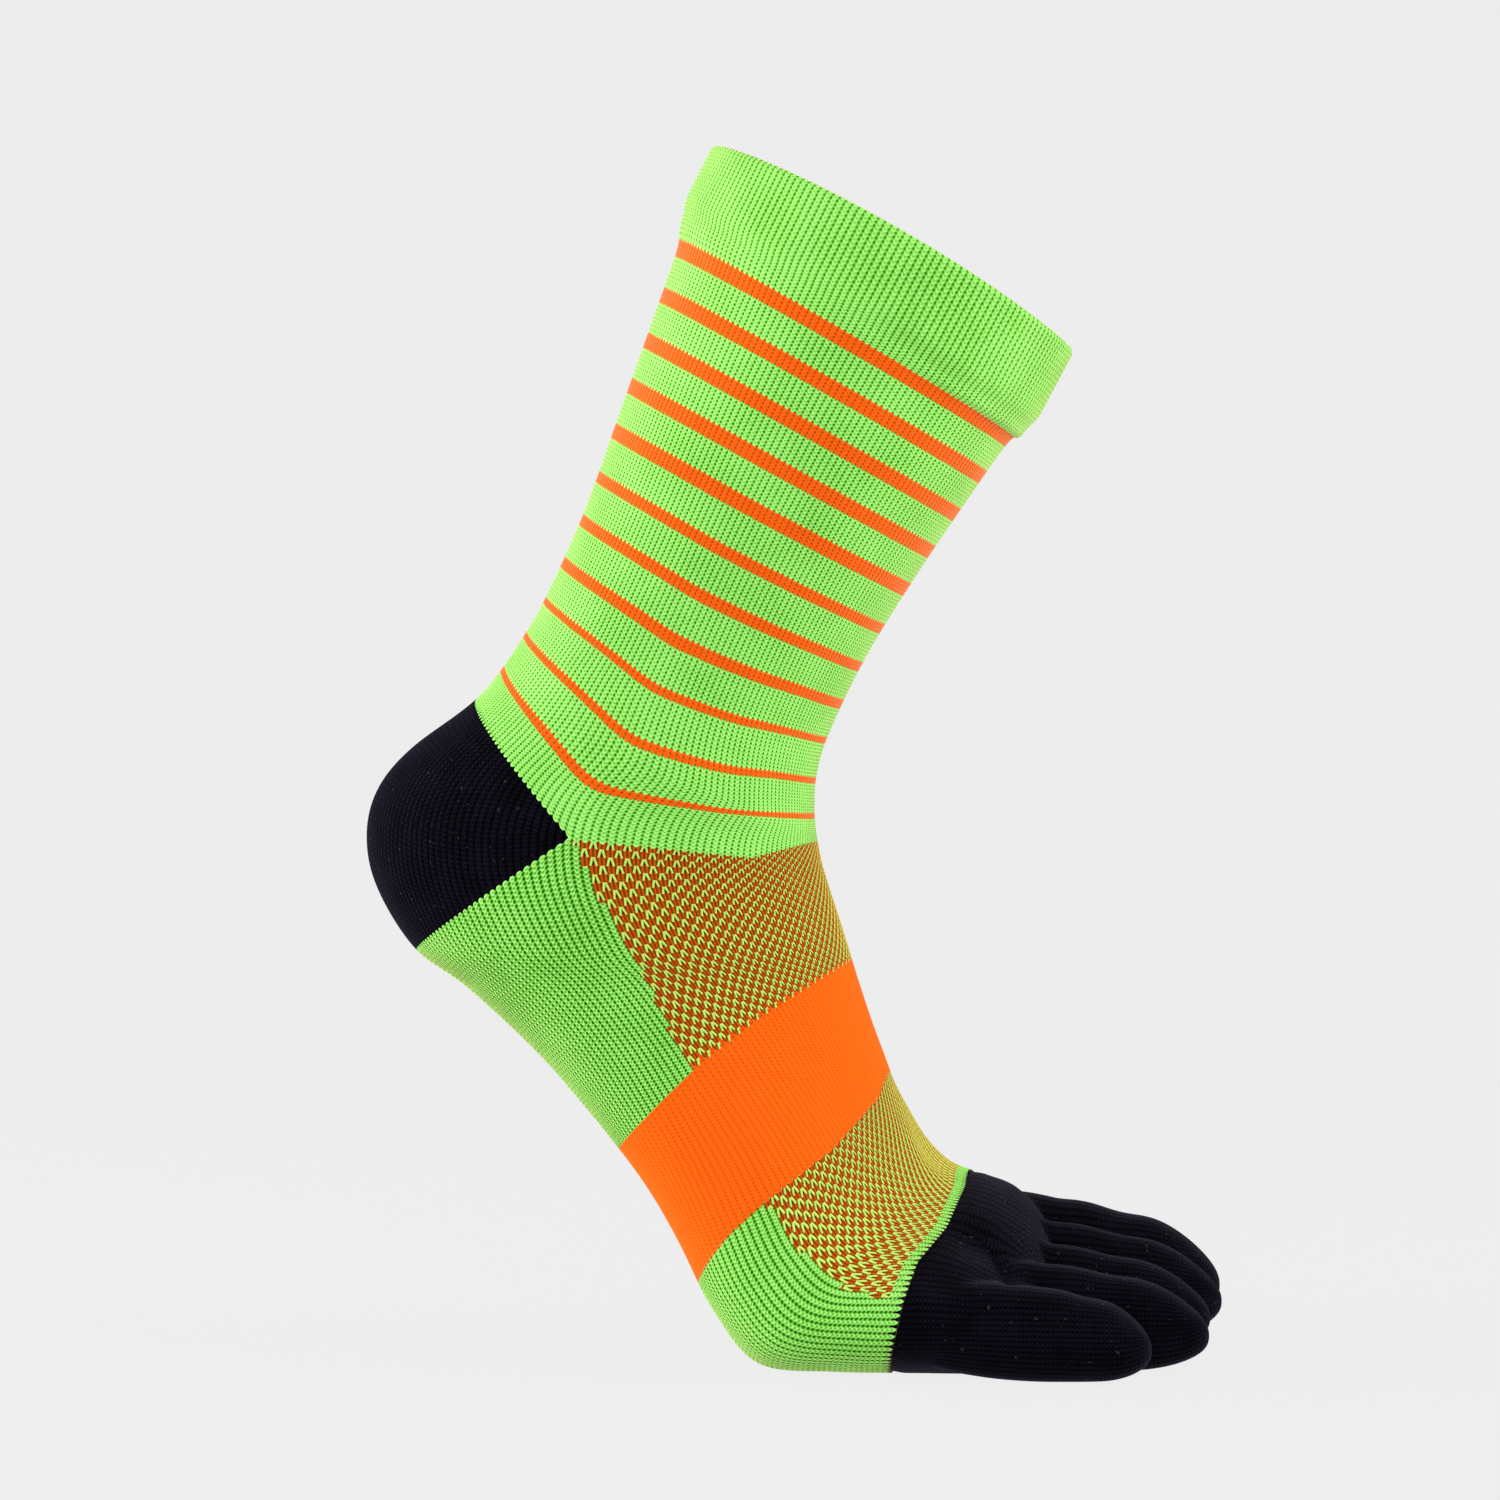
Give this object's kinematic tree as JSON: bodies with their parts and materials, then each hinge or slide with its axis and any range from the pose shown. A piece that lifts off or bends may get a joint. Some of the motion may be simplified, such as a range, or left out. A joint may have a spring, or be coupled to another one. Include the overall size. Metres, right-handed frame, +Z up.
{
  "type": "toe sock",
  "caption": "Crew-height toe sock standing on its toes, with striped leg, folded cuff, wedge heel, open-knit instep, arch band and a separate pocket for each toe.",
  "frame": {"origin": "middle of the ankle, where the foot and leg inside hold the sock", "axes": "+X towards the toes, +Y towards the inner side of the foot, +Z up"},
  "size_m": [0.1989, 0.0957, 0.2794],
  "materials": {
    "green_knit": "bright green plain knit, with orange stripes on the leg",
    "orange_knit": "bright orange dense knit",
    "black_knit": "black dense knit with a faint fuzz",
    "mesh_knit": "green stitches on an orange-brown ribbed ground"
  },
  "bodies": {
    "root": {"cuff": "green_knit", "leg": "green_knit", "heel_pocket": "black_knit", "rear_instep_mesh": "mesh_knit", "rear_sole": "green_knit", "arch_band": "orange_knit", "front_instep_mesh": "mesh_knit", "front_sole": "green_knit", "toe_base": "black_knit", "little_toe": "black_knit", "fourth_toe": "black_knit", "third_toe": "black_knit", "second_toe": "black_knit", "big_toe": "black_knit"}
  },
  "joints": []
}
